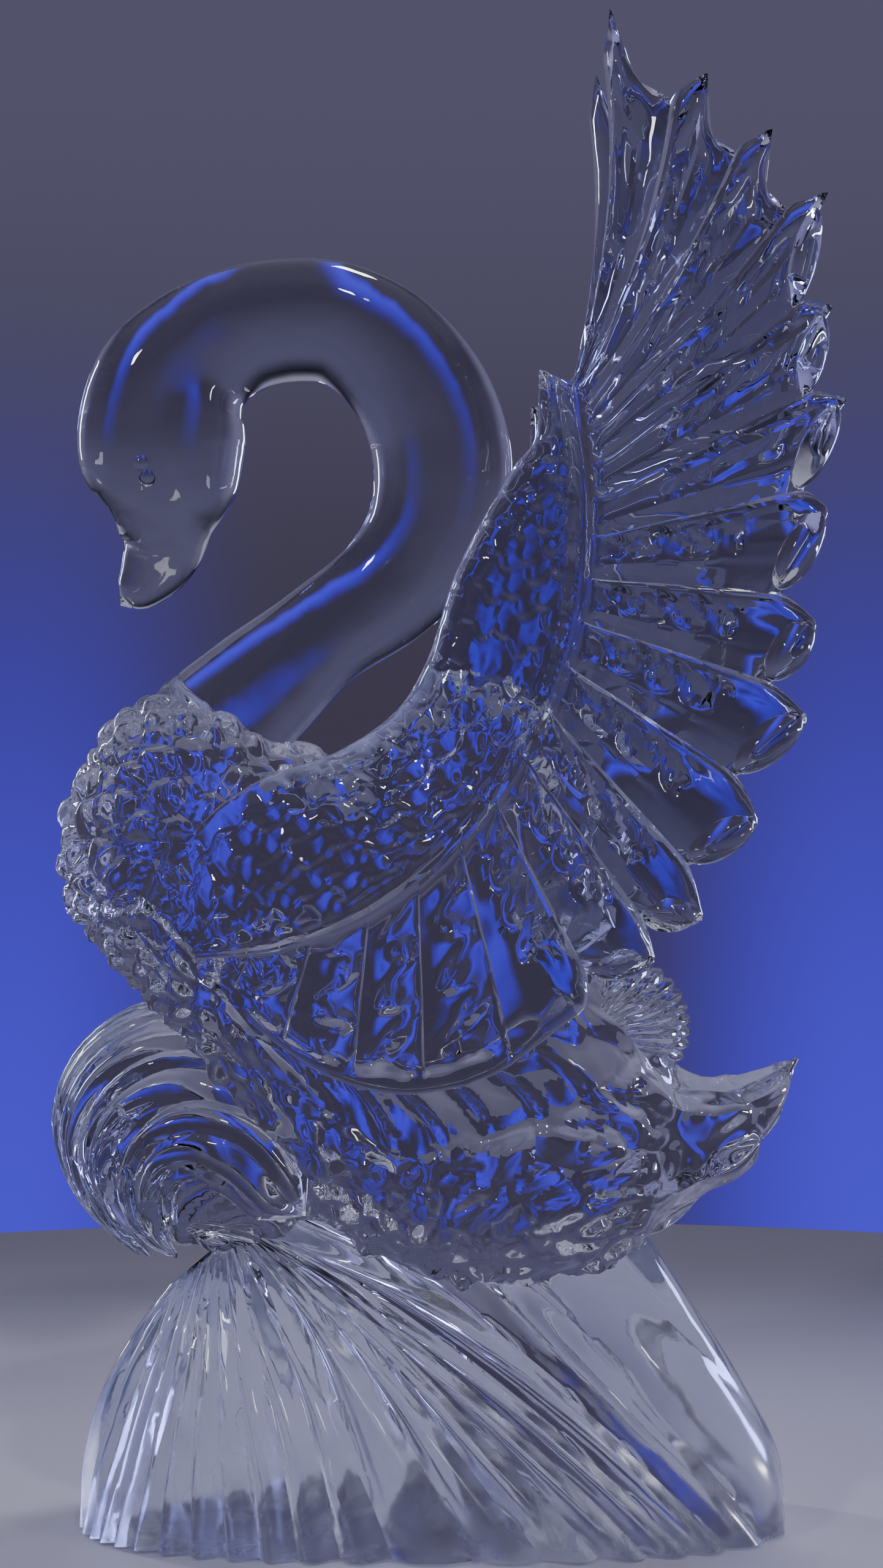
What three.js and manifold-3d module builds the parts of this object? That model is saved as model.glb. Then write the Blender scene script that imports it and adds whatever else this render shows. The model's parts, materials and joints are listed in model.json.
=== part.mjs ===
// A swan with raised wings that rides a breaking wave, carved from one upright block of clear ice.
// Millimetres, +Z up. The swan looks towards -X, its left side faces -Y, and it stands on Z = 0.
import * as THREE from "three";
import { mergeVertices } from "three/addons/utils/BufferGeometryUtils.js";
import Module from "manifold-3d";

const wasm = await Module();
wasm.setup();

// Driving sizes, in millimetres.
const HEIGHT = 970; // from the table to the highest wing feather
const DEPTH = 245; // through the block, from one wing's arm to the other's
const ARM_THICKNESS = 50; // a wing along its arm
const TIP_THICKNESS = 26; // a wing at its edges
const FEATHER_STEP = 7; // how far a long feather stands over the next one
const ARM_STEP = 6; // how far the arm stands over the feathers
const SCALE_STEP = 5; // relief of the small feathers on breast and wing
const FLUTE_STEP = 7; // relief of the water's flutes on the base
const CREST_STEP = 5; // relief of the small feathers on the rump
const EYE_RADIUS = 6;

// Counts.
const LONG_FEATHERS = 18; // on each wing
const CURLS = 9; // ribs of the breaking wave, from side to side

// The free form is drawn in the side view, 1000 units tall, with shares of the half depth across it.
const unit = HEIGHT / 1000;
const half = DEPTH / 2;

// Side view outline of a wing: the long feathers' tips from the foremost, and the tip that it hides.
const HIDDEN_TIP = [97, 985];
const TIPS = [
  [104, 1000], [167, 958], [209, 922], [245, 881], [248, 807], [257, 747], [245, 675], [237, 602],
  [231, 541], [199, 473], [163, 412], [132, 385], [85, 353], [27, 312], [-28, 300], [-72, 309],
  [-117, 337], [-147, 367],
];
const SHOULDER_END = [-171, 386];
// The lower edge of the arm, from the wrist to the shoulder, where the long feathers start.
const ARM = [[80, 753], [90, 690], [83, 609], [65, 551], [9, 463], [-52, 414], [-108, 393], [-168, 385]];
// The wing's front edge, from the spike at the wrist, past the neck and round the shoulder.
const FRONT = [
  [58, 766], [55, 720], [42, 703], [5, 636], [-14, 579], [-33, 547], [-71, 520], [-122, 501],
  [-165, 467], [-182, 411], [-174, 389],
];

// The neck and head as stations [x, z, half width, half depth], from inside the breast to the bill's tip.
const NECK = [
  [-200, 470, 0, 0], [-171, 520, 46, 44], [-128, 562, 42, 40], [-85, 599, 36, 37], [-41, 631, 39, 38],
  [-13, 668, 44, 40], [-4, 711, 47, 41], [-14, 753, 46, 40], [-40, 789, 43, 38], [-73, 809, 41, 37],
  [-105, 812, 41, 37], [-139, 806, 42, 37], [-168, 790, 46, 38], [-189, 764, 53, 40], [-195, 729, 56, 41],
  [-191, 696, 47, 37], [-192, 673, 33, 29], [-194, 656, 27, 22], [-203, 639, 21, 17], [-214, 626, 13, 12],
  [-222, 619, 0, 0],
];

// Body and tail as upright stations [x, top, bottom, share of the half depth], from breast to tail tip.
const BODY = [
  [-261, 459, 459, 0], [-251, 498, 420, 0.4], [-235, 525, 395, 0.58], [-214, 549, 374, 0.69],
  [-181, 564, 333, 0.78], [-144, 551, 286, 0.82], [-91, 519, 215, 0.82], [-38, 512, 175, 0.81],
  [9, 498, 158, 0.8], [68, 435, 166, 0.78], [121, 355, 186, 0.7], [153, 313, 205, 0.6],
  [179, 301, 223, 0.5], [206, 307, 247, 0.38], [227, 313, 278, 0.22], [237, 315, 315, 0],
];
const KEEL_FULLNESS = 0.9; // over 0, the lower half is rounder than an ellipse
const TAIL = [95, 165]; // between these the small feathers end, and the tail's six flat faces begin

// The wave's middle curl as stations [x, z, half width], and the point about which the others are smaller.
const CURL = [
  [-56, 238, 0], [-88, 268, 24], [-134, 312, 27], [-190, 330, 25], [-230, 310, 22], [-247, 274, 20],
  [-241, 238, 16], [-226, 208, 9], [-212, 186, 0],
];
const CURL_HUB = [-134, 200];

// Lumps and hollows as [x, z, half length, half height, share of the half depth].
const WAVE_HEART = [-150, 252, 80, 66, 0.8];
const WAVE_HOLLOW = [-140, 196, 52, 18, 0.77];
const BACK = [22, 462, 92, 118, 0.78]; // between the wings, to carry their arms
const RUMP = [86, 335, 78, 58, 0.57];
const EYE = [-204, 712]; // in the side view

// The base as rings [z, front end, back end, share of the half depth].
const BASE = [
  [0, -248, 228, 0.94], [48, -246, 224, 0.92], [92, -235, 202, 0.87], [127, -216, 180, 0.79],
  [154, -194, 161, 0.69], [182, -162, 142, 0.56], [210, -125, 122, 0.37],
];
const BASE_SWEEP = 1.7; // over 1, the flutes spring from the front and sweep back as they fall

// A closed solid from points and triangles, which are turned round if they face inwards.
function solidOf(points, triangles) {
  const geometry = new THREE.BufferGeometry()
    .setAttribute("position", new THREE.Float32BufferAttribute(points.flatMap((p) => [p.x, p.y, p.z]), 3))
    .setIndex(triangles);
  return solidOfGeometry(geometry);
}

function solidOfGeometry(geometry) {
  geometry.deleteAttribute("normal");
  geometry.deleteAttribute("uv");
  const merged = mergeVertices(geometry, 1e-3);
  const vertProperties = merged.attributes.position.array;
  const triVerts = new Uint32Array(merged.index.array);
  const made = new wasm.Manifold(new wasm.Mesh({ numProp: 3, vertProperties, triVerts }));
  if (made.volume() > 0) return made;
  return new wasm.Manifold(new wasm.Mesh({ numProp: 3, vertProperties, triVerts: triVerts.reverse() }));
}

// A four-sided face as two triangles. Every other one is split the other way, which makes dents square.
const split = (a, b, c, d, other) => (other ? [a, b, d, b, c, d] : [a, b, c, a, c, d]);

// A skin over rings of points, each ring closed, drawn together to one point at each end.
function skin(first, rings, last) {
  const sides = rings[0].length;
  const triangles = [];
  const at = (ring, side) => 1 + ring * sides + (side % sides);
  const end = 1 + rings.length * sides;
  for (let side = 0; side < sides; side++) {
    triangles.push(0, at(0, side + 1), at(0, side));
    for (let ring = 0; ring + 1 < rings.length; ring++) {
      const corners = [at(ring, side), at(ring, side + 1), at(ring + 1, side + 1), at(ring + 1, side)];
      triangles.push(...split(...corners, (ring + side) % 2));
    }
    triangles.push(at(rings.length - 1, side), at(rings.length - 1, side + 1), end);
  }
  return solidOf([first, ...rings.flat(), last], triangles);
}

// A plate between two grids of points, each a list of columns, with their edges stitched together.
function plate(front, back) {
  const points = [];
  const triangles = [];
  const numbered = (grid) => grid.map((column) => column.map((point) => points.push(point) - 1));
  const face = (grid, turned) => {
    for (let column = 0; column + 1 < grid.length; column++) {
      for (let row = 0; row + 1 < grid[0].length; row++) {
        const [a, d] = [grid[column][row], grid[column][row + 1]];
        const [b, c] = [grid[column + 1][row], grid[column + 1][row + 1]];
        triangles.push(...split(...(turned ? [a, d, c, b] : [a, b, c, d]), (column + row) % 2));
      }
    }
  };
  const rim = (grid) => [
    ...grid.map((column) => column[0]),
    ...grid.at(-1).slice(1),
    ...grid.map((column) => column.at(-1)).reverse().slice(1),
    ...grid[0].slice(1).reverse(),
    grid[0][0],
  ];
  const stitch = (one, other) => {
    const further = (edge, from) => edge[from] && points[edge[from]];
    let [i, j] = [0, 0];
    while (i + 1 < one.length || j + 1 < other.length) {
      const byOne = further(one, i + 1) ? further(one, i + 1).distanceTo(points[other[j]]) : Infinity;
      const byOther = further(other, j + 1) ? further(other, j + 1).distanceTo(points[one[i]]) : Infinity;
      if (byOne <= byOther) triangles.push(one[i], other[j], one[++i]);
      else triangles.push(one[i], other[j], other[++j]);
    }
  };
  const [near, far] = [numbered(front), numbered(back)];
  face(near, false);
  face(far, true);
  stitch(rim(near), rim(far));
  return solidOf(points, triangles);
}

const join = (pieces) => pieces.reduce((whole, piece) => whole.add(piece));

// A curve in the side view, in units.
const sideCurve = (points) =>
  new THREE.CatmullRomCurve3(points.map(([x, z]) => new THREE.Vector3(x, 0, z)));

// A round limb that follows stations [x, z, half width, half depth], in units, and ends in points.
function limb(stations, rings, sides, shift = 0) {
  const path = sideCurve(stations);
  const girth = sideCurve(stations.map(([, , width, depth]) => [width, depth]));
  const made = [];
  for (let ring = 1; ring < rings; ring++) {
    const share = ring / rings;
    const centre = path.getPoint(share);
    const along = path.getTangent(share);
    const size = girth.getPoint(share);
    const points = [];
    for (let side = 0; side < sides; side++) {
      const turn = (side / sides) * 2 * Math.PI;
      const across = Math.cos(turn) * size.x;
      points.push(
        new THREE.Vector3(
          (centre.x - along.z * across) * unit,
          shift + Math.sin(turn) * size.z * unit,
          (centre.z + along.x * across) * unit,
        ),
      );
    }
    made.push(points);
  }
  const [first, last] = [path.getPoint(0), path.getPoint(1)].map((p) => p.multiplyScalar(unit).setY(shift));
  return skin(first, made, last);
}

// An egg-shaped lump, which may lean in the side view and stand aside of the middle.
function lump([x, z, halfLength, halfHeight, depthShare], { lean = 0, aside = 0 } = {}) {
  const geometry = new THREE.SphereGeometry(1, 16, 9);
  geometry.scale(halfLength * unit, depthShare * half, halfHeight * unit);
  geometry.rotateY(lean);
  geometry.translate(x * unit, aside, z * unit);
  return solidOfGeometry(geometry);
}

// Neck, head and bill are one smooth limb, and an eye stands a little proud on each side of the head.
function neckAndHead() {
  const rings = 34;
  const sides = 12;
  const headHalfWidth = 36; // units, at the eyes
  const eyes = [-1, 1].map((way) => {
    const eye = new THREE.SphereGeometry(EYE_RADIUS, 8, 6);
    eye.translate(EYE[0] * unit, way * headHalfWidth * unit, EYE[1] * unit);
    return solidOfGeometry(eye);
  });
  return join([limb(NECK, rings, sides), ...eyes]);
}

// How far a value has come between two others, from 0 to 1.
const ramp = (value, from, to) => THREE.MathUtils.clamp((value - from) / (to - from), 0, 1);

// The distance to the side of a regular polygon whose corners are 1 away, one of them straight up.
const polygon = (turn, corners) => {
  const step = (2 * Math.PI) / corners;
  return Math.cos(step / 2) / Math.cos((((turn % step) + step) % step) - step / 2);
};

// The body is an upright loft that ends in the upturned tail. Small feathers cover it in a check of dents.
function bodyAndTail() {
  const rings = 30;
  const sides = 24;
  const tailFaces = 6;
  const breast = [-235, -150]; // its dents also go backwards, less and less between these
  const top = sideCurve(BODY.map(([x, z]) => [x, z]));
  const bottom = sideCurve(BODY.map(([x, , z]) => [x, z]));
  const depth = sideCurve(BODY.map(([x, , , share]) => [x, share * 100]));
  const made = [];
  for (let ring = 1; ring < rings; ring++) {
    const share = ring / rings;
    const high = top.getPoint(share);
    const low = bottom.getPoint(share);
    const halfHeight = ((high.z - low.z) / 2) * unit;
    const halfDepth = (depth.getPoint(share).z / 100) * half;
    const tail = ramp(high.x, ...TAIL);
    const dent = ring > 1 && high.x < TAIL[0] ? SCALE_STEP : 0;
    const points = [];
    for (let side = 0; side < sides; side++) {
      const turn = (side / sides) * 2 * Math.PI;
      const flat = 1 - tail + tail * polygon(turn, tailFaces);
      const sunk = (ring + side) % 2 ? dent : 0;
      const across = Math.sin(turn);
      const up = Math.cos(turn);
      const full = up < 0 ? (1 - tail) * KEEL_FULLNESS * up ** 2 : 0;
      points.push(
        new THREE.Vector3(
          high.x * unit + sunk * (1 - ramp(high.x, ...breast)),
          across * (1 + full) * (halfDepth * flat - sunk),
          low.z * unit + halfHeight + up * (halfHeight * flat - sunk),
        ),
      );
    }
    made.push(points);
  }
  const ends = [BODY[0], BODY.at(-1)].map(([x, z]) => new THREE.Vector3(x * unit, 0, z * unit));
  return skin(ends[0], made, ends[1]);
}

// A fan of small feathers on the rump, over the tail.
function rump() {
  const spokes = 28;
  const geometry = new THREE.SphereGeometry(1, spokes, 6);
  const position = geometry.attributes.position;
  const [x, z, halfLength, halfHeight, depthShare] = RUMP;
  for (let i = 0; i < position.count; i++) {
    const spoke = i % (spokes + 1);
    const rim = Math.hypot(position.getX(i), position.getZ(i));
    const relief = 1 - ((spoke % 2) * rim * CREST_STEP) / (halfHeight * unit);
    position.setXYZ(
      i,
      (x + position.getX(i) * halfLength * relief) * unit,
      position.getY(i) * depthShare * half,
      (z + position.getZ(i) * halfHeight * relief) * unit,
    );
  }
  return solidOfGeometry(geometry);
}

// A wing is a plate. Its columns run from the front edge over the arm to the feathers' ends.
// Each long feather has its tip early in its own width, and a notch where the next one starts.
const TIP_AT = 0.25; // of a feather's width
const NOTCH_AT = 0.75; // from one tip to the next
const NOTCH_DEPTH = 0.12; // of a feather's length
const LOBE = [-0.06, 0.05]; // how full a hind edge is, on the uppermost feathers and on the lower ones
const BOW = 12; // units that the foremost feather bends back halfway up
const ROOT_CROWDING = 1.5; // over 1, the roots are closest at the wrist
const TIP_TAPER = 0.4; // how much thinner a feather is at its tip than at its notches
const SKIRT_OUT = 0.1; // share of the half depth that the lowest feathers stand out further, over the flank
const SHOULDER_IN = 0.1; // share of the half depth that the shoulder sinks into the breast

const arm = sideCurve(ARM);
const front = sideCurve(FRONT);
const tipLine = sideCurve([HIDDEN_TIP, ...TIPS]);
const rootOf = (place) => arm.getPointAt((place / LONG_FEATHERS) ** ROOT_CROWDING);
const frontOf = (place) => front.getPointAt((place / LONG_FEATHERS) ** ROOT_CROWDING);
const tipOf = (feather) => tipLine.getPoint(feather / LONG_FEATHERS);

// The end of the column at a place counted in feathers from the front, such as 2.25 for the third tip.
function featherEnd(place) {
  if (place >= LONG_FEATHERS) return new THREE.Vector3(SHOULDER_END[0], 0, SHOULDER_END[1]);
  const feather = Math.floor(place);
  const within = place - feather;
  const tip = tipOf(feather + 1);
  const notch = (at) => tipOf(at).lerp(tipOf(at + 1), NOTCH_AT).lerp(rootOf(at), NOTCH_DEPTH);
  if (within <= TIP_AT) return notch(feather).lerp(tip, within / TIP_AT);
  const next = feather + 1 < LONG_FEATHERS ? notch(feather + 1) : featherEnd(LONG_FEATHERS);
  const past = (within - TIP_AT) / (1 - TIP_AT);
  const outwards = tip.clone().sub(rootOf(place));
  const lobe = THREE.MathUtils.lerp(...LOBE, ramp(feather / LONG_FEATHERS, 0.15, 0.45));
  return tip.lerp(next, past).addScaledVector(outwards, lobe * 4 * past * (1 - past));
}

// Rows across a wing: the stretch they lie on (0 front edge to arm, 1 arm to feather ends), the share of
// it, how far out they stand as a share of the half depth, and how much of the arm's thickness and of each
// relief they have.
const WING_ROWS = [
  { stretch: 0, share: 0, out: 0.89, thick: 0.1, scale: 0, feather: 0, arm: 0 },
  { stretch: 0, share: 0.22, out: 0.94, thick: 0.6, scale: 1, feather: 0, arm: 0 },
  { stretch: 0, share: 0.44, out: 0.97, thick: 0.9, scale: 1, feather: 0, arm: 0 },
  { stretch: 0, share: 0.66, out: 0.98, thick: 1, scale: 1, feather: 0, arm: 0 },
  { stretch: 0, share: 0.85, out: 1, thick: 1, scale: 0, feather: 0, arm: 1 },
  { stretch: 0, share: 1, out: 0.99, thick: 1, scale: 0, feather: 0, arm: 1 },
  { stretch: 1, share: 0.06, out: 0.95, thick: 0.9, scale: 0, feather: 0.4, arm: 0 },
  { stretch: 1, share: 0.4, out: 0.93, thick: 0.6, scale: 0, feather: 1, arm: 0 },
  { stretch: 1, share: 0.78, out: 0.9, thick: 0.2, scale: 0, feather: 1, arm: 0 },
  { stretch: 1, share: 1, out: 0.87, thick: 0, scale: 0, feather: 0.5, arm: 0 },
];
const INNER_ROWS = WING_ROWS.filter((row, index) => [0, 2, 5, 7, 9].includes(index));

// Columns within a feather's width, and how high each stands: a step up at the start, then a slope down to
// the next. Small feathers stand out in turn on the odd and the even columns.
const FEATHER_COLUMNS = [
  { within: 0, high: -0.5, odd: 1 },
  { within: 0.08, high: 0.4, odd: 0 },
  { within: TIP_AT, high: 0.5, odd: 0 },
  { within: 0.62, high: 0, odd: 1 },
];
const INNER_COLUMNS = FEATHER_COLUMNS.filter(({ within }) => within === 0 || within === TIP_AT);

// Where a wing's row crosses a column, in the side view.
function wingPoint(row, place) {
  const root = rootOf(place);
  if (!row.stretch) return frontOf(place).lerp(root, row.share);
  const at = root.lerp(featherEnd(place), row.share);
  at.x += BOW * 4 * row.share * (1 - row.share) * (1 - ramp(place / LONG_FEATHERS, 0, 0.3));
  return at;
}

// How far out a wing's outer face stands there, before its relief.
function wingOut(row, place) {
  const along = place / LONG_FEATHERS;
  const skirt = row.stretch * row.share * SKIRT_OUT * ramp(along, 0.45, 0.7);
  return (row.out + skirt - SHOULDER_IN * ramp(along, 0.75, 1)) * half - ARM_STEP;
}

function wing(way) {
  const columnsOf = (within) => {
    const columns = [];
    for (let feather = 0; feather < LONG_FEATHERS; feather++) {
      for (const column of within) columns.push({ ...column, place: feather + column.within });
    }
    return [...columns, { place: LONG_FEATHERS, within: 0, high: 0, odd: 1 }];
  };
  const at = (row, place, out) => {
    const { x, z } = wingPoint(row, place);
    return new THREE.Vector3(x * unit, way * out, z * unit);
  };
  const outer = columnsOf(FEATHER_COLUMNS).map(({ place, high, odd }) =>
    WING_ROWS.map((row, index) => {
      const fade = ramp(LONG_FEATHERS - place, 0, 1.5);
      const bump = (odd + index) % 2 ? SCALE_STEP * row.scale : 0;
      const relief = fade * (bump + high * FEATHER_STEP * row.feather + ARM_STEP * row.arm);
      return at(row, place, wingOut(row, place) + relief);
    }),
  );
  const inner = columnsOf(INNER_COLUMNS).map(({ place, within }) =>
    INNER_ROWS.map((row) => {
      const taper = within === TIP_AT && row.stretch === 1 && row.share === 1 ? TIP_TAPER : 0;
      const thickness = (TIP_THICKNESS + (ARM_THICKNESS - TIP_THICKNESS) * row.thick) * (1 - taper);
      return at(row, place, wingOut(row, place) - thickness);
    }),
  );
  return plate(outer, inner);
}

// The breaking wave is a clam of curls, largest in the middle, over a round heart.
function wave() {
  const middle = (CURLS - 1) / 2;
  const spread = 0.74; // share of the half depth that the outermost curls reach
  const outermost = 0.53; // its size, as a share of the middle one's
  const flatness = 0.8; // a curl's depth, as a share of its width in the side view
  const rings = 9;
  const sides = 8;
  const curls = [];
  for (let curl = 0; curl < CURLS; curl++) {
    const aside = (curl - middle) / middle;
    const size = Math.sqrt(1 - (1 - outermost ** 2) * aside ** 2);
    const stations = CURL.map(([x, z, width]) => [
      CURL_HUB[0] + (x - CURL_HUB[0]) * size,
      CURL_HUB[1] + (z - CURL_HUB[1]) * size,
      width,
      width * flatness,
    ]);
    curls.push(limb(stations, rings, sides, aside * spread * half));
  }
  return join([lump(WAVE_HEART), ...curls]);
}

// A leaning hollow on each side, between the breaking wave and the base.
function hollows() {
  const lean = 0.3; // radians
  const aside = 1.12 * half;
  return join([-aside, aside].map((y) => lump(WAVE_HOLLOW, { lean, aside: y })));
}

// The base is water that falls from under the breast, fluted all round, with a flat underside.
function base() {
  const sides = 56;
  const squareness = 2.6; // 2 is an ellipse
  const rings = BASE.map(([z, from, to, depthShare], level) => {
    const points = [];
    for (let side = 0; side < sides; side++) {
      const around = ((side / sides) * 2 - 1) * Math.PI; // 0 at the front end
      const sweep = 1 + ((BASE_SWEEP - 1) * z) / BASE.at(-1)[0];
      const turn = Math.PI - Math.sign(around) * Math.PI * (Math.abs(around) / Math.PI) ** sweep;
      const corner = (value) => Math.sign(value) * Math.abs(value) ** (2 / squareness);
      const flute = side % 2 && level < BASE.length - 1 ? FLUTE_STEP : 0;
      const halfLength = ((to - from) / 2) * unit - flute;
      points.push(
        new THREE.Vector3(
          ((from + to) / 2) * unit + corner(Math.cos(turn)) * halfLength,
          corner(Math.sin(turn)) * (depthShare * half - flute),
          z * unit,
        ),
      );
    }
    return points;
  });
  const ends = [BASE[0], BASE.at(-1)];
  const [under, top] = ends.map(
    ([z, from, to]) => new THREE.Vector3(((from + to) / 2) * unit, 0, z * unit),
  );
  return skin(under, rings, top);
}

const swanForm = join([bodyAndTail(), neckAndHead(), lump(BACK), rump(), wing(-1), wing(1)]);
const waterForm = join([base(), wave()]);
const carved = swanForm.add(waterForm).subtract(hollows());

// The solid as a three.js mesh, moved so that the middle of its box is over the origin.
function meshOf(solid, name, material) {
  const { vertProperties, triVerts, numProp } = solid.getMesh();
  const positions = [];
  for (let i = 0; i < vertProperties.length; i += numProp) {
    positions.push(...vertProperties.subarray(i, i + 3));
  }
  const geometry = new THREE.BufferGeometry()
    .setAttribute("position", new THREE.Float32BufferAttribute(positions, 3))
    .setIndex([...triVerts]);
  geometry.computeBoundingBox();
  const middle = geometry.boundingBox.getCenter(new THREE.Vector3());
  geometry.translate(-middle.x, -middle.y, 0);
  const mesh = new THREE.Mesh(geometry, material);
  mesh.name = name;
  return mesh;
}

const clearIce = new THREE.MeshStandardMaterial({
  color: 0xdfe6f4,
  roughness: 0.05,
  metalness: 0,
  transparent: true,
  opacity: 0.35,
});

const swan = new THREE.Group();
swan.add(meshOf(carved, "ice_swan", clearIce));

export default swan;
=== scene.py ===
import json
import math

import bpy
import numpy as np
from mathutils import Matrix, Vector, noise

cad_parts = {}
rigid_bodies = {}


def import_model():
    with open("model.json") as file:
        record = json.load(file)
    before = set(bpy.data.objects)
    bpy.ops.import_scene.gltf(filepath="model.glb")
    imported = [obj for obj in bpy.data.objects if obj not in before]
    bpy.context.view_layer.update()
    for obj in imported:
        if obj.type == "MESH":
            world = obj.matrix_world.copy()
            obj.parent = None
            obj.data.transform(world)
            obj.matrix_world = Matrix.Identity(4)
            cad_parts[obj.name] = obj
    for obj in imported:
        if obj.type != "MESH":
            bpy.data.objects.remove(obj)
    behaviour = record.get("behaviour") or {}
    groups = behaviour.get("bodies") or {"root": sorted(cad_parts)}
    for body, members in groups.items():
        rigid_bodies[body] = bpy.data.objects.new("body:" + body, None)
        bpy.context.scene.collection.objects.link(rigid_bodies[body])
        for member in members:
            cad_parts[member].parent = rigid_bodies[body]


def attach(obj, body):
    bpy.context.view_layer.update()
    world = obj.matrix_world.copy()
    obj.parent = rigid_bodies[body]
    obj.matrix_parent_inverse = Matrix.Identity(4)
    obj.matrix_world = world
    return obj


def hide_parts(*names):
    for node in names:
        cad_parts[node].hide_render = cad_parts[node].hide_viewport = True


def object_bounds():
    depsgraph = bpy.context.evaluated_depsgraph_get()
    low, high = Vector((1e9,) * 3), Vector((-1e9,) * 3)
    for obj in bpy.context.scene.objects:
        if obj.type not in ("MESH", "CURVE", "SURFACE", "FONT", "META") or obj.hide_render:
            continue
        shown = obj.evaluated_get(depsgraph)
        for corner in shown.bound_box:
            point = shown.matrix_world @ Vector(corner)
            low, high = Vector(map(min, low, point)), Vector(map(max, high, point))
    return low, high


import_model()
cad_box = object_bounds()


# The body and the upturned tail.
# Clear ice, roughed out of the upright block as one keeled form, with a round gouge's marks all over the
# breast and belly and a tail polished into flat faces. A ball is drawn out along the body's side view.

unit = round(cad_box[1][2], 4) / 1000  # metres in each unit of the side view, which is 1000 units tall
half_depth = round(cad_box[1][1], 4)
middle = 0.0042  # the side view is drawn this far off the middle of the finished outline
body_stations = np.array([  # x, top, bottom and share of the half depth, from the breast to the tail's tip
    [-261, 459, 459, 0], [-251, 498, 420, 0.4], [-235, 525, 395, 0.58], [-214, 549, 374, 0.69],
    [-181, 564, 333, 0.78], [-144, 551, 286, 0.82], [-91, 519, 215, 0.82], [-38, 512, 175, 0.81],
    [9, 498, 158, 0.8], [68, 435, 166, 0.78], [121, 355, 186, 0.7], [153, 313, 205, 0.6],
    [179, 301, 223, 0.5], [206, 307, 247, 0.38], [227, 313, 278, 0.22], [237, 315, 315, 0],
])
keel_fullness = 0.9
tail_start, tail_full = 95, 165  # between these the gouge marks end and the flat faces begin
tail_faces = 6
# The hem of the lowest wing feathers, and the lower line of the keel, both in the side view.
hem_line = np.array([[-180, 383], [-122, 327], [-87, 312], [-26, 300], [34, 312], [82, 331], [140, 372]])
keel_line = np.array([[-187, 372], [-122, 291], [-72, 240], [-36, 205], [9, 170], [64, 170], [129, 198]])
keel_band_high = 40
second_tier_deep, tier_feather_wide = 48, 31  # of the long flank feathers below the hem
# Depths of the gouge's cuts and the gaps between them, in metres.
breast_cut, keel_cut, belly_cut, facet_cut = 0.0105, 0.012, 0.0135, 0.008
breast_gap, keel_gap, belly_gap, facet_gap = 0.0205, 0.018, 0.02, 0.042
tier_step, tier_edge_step, keel_ridge_step = 0.008, 0.005, 0.004
body_ground, tail_ground = 0.004, 0.002  # the carving is set this far into the rough form
far_softening = 0.5  # the right side is carved this much shallower


def ramp(value, start, end):
    """How far a value has come between two others, from 0 to 1, easing in and out."""
    share = np.clip((value - start) / (end - start), 0, 1)
    return share * share * (3 - 2 * share)


def smooth_line(points, share):
    """Places at these shares, from 0 to 1, of a smooth line drawn through the points."""
    points = np.asarray(points, float)
    padded = np.vstack([2 * points[0] - points[1], points, 2 * points[-1] - points[-2]])
    place = np.clip(share, 0, 1) * (len(points) - 1)
    start = np.minimum(place.astype(int), len(points) - 2)
    t = (place - start)[:, None]
    a, b, c, d = (padded[start + step] for step in range(4))
    gaps = [
        np.maximum(np.linalg.norm(q - p, axis=1), 1e-9)[:, None] ** 0.5 for p, q in ((a, b), (b, c), (c, d))
    ]
    leave = ((b - a) / gaps[0] - (c - a) / (gaps[0] + gaps[1]) + (c - b) / gaps[1]) * gaps[1]
    arrive = ((c - b) / gaps[1] - (d - b) / (gaps[1] + gaps[2]) + (d - c) / gaps[2]) * gaps[1]
    return b + t * leave + t**2 * (3 * (c - b) - 2 * leave - arrive) + t**3 * (2 * (b - c) + leave + arrive)


def ball(name, sides, rings, crowding=0.0):
    """A ball of ice to carve, with each point's turn round it and its share of the way from pole to pole. The
    points may crowd on the left side, which is carved the finest and has its turns below 0."""
    bpy.ops.object.select_all(action="DESELECT")
    bpy.ops.mesh.primitive_uv_sphere_add(segments=sides, ring_count=rings, radius=1)
    blank = bpy.context.active_object
    blank.name = name
    x, y, z = points_of(blank).T
    turn = np.arctan2(y, x)
    turn = (turn - crowding * np.cos(turn) + math.pi) % (2 * math.pi) - math.pi
    return blank, turn, np.arccos(np.clip(z, -1, 1)) / math.pi


def points_of(blank):
    """Where its points are, in metres."""
    points = np.empty(len(blank.data.vertices) * 3)
    blank.data.vertices.foreach_get("co", points)
    return points.reshape(-1, 3)


def shape(blank, x, y, z):
    """Moves the points to x and z, in units of the side view, and y, in metres. The faces turn outwards."""
    blank.data.vertices.foreach_set("co", np.stack([x * unit + middle, y, z * unit], axis=1).ravel())
    blank.data.update()
    bpy.ops.object.select_all(action="DESELECT")
    blank.select_set(True)
    bpy.context.view_layer.objects.active = blank
    bpy.ops.object.mode_set(mode="EDIT")
    bpy.ops.mesh.select_all(action="SELECT")
    bpy.ops.mesh.normals_make_consistent(inside=False)
    bpy.ops.object.mode_set(mode="OBJECT")


def carve(blank, height):
    """Raises each point out of the surface by its height, in metres, or sinks it where that is below 0."""
    outwards = np.empty(len(blank.data.vertices) * 3)
    blank.data.vertex_normals.foreach_get("vector", outwards)
    carved = points_of(blank) + height[:, None] * outwards.reshape(-1, 3)
    blank.data.vertices.foreach_set("co", carved.ravel())
    blank.data.update()


def gouged(places, size):
    """Pillows between a gouge's cuts: 1 on top of each and 0 in the cuts, at these places in metres."""
    gaps = np.empty(len(places))
    for index, place in enumerate(places / size):
        nearest = noise.voronoi(Vector(place))[0]
        gaps[index] = nearest[1] - nearest[0]
    gaps = np.clip(gaps * 1.3, 0, 1)
    return gaps * (2 - gaps)


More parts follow.
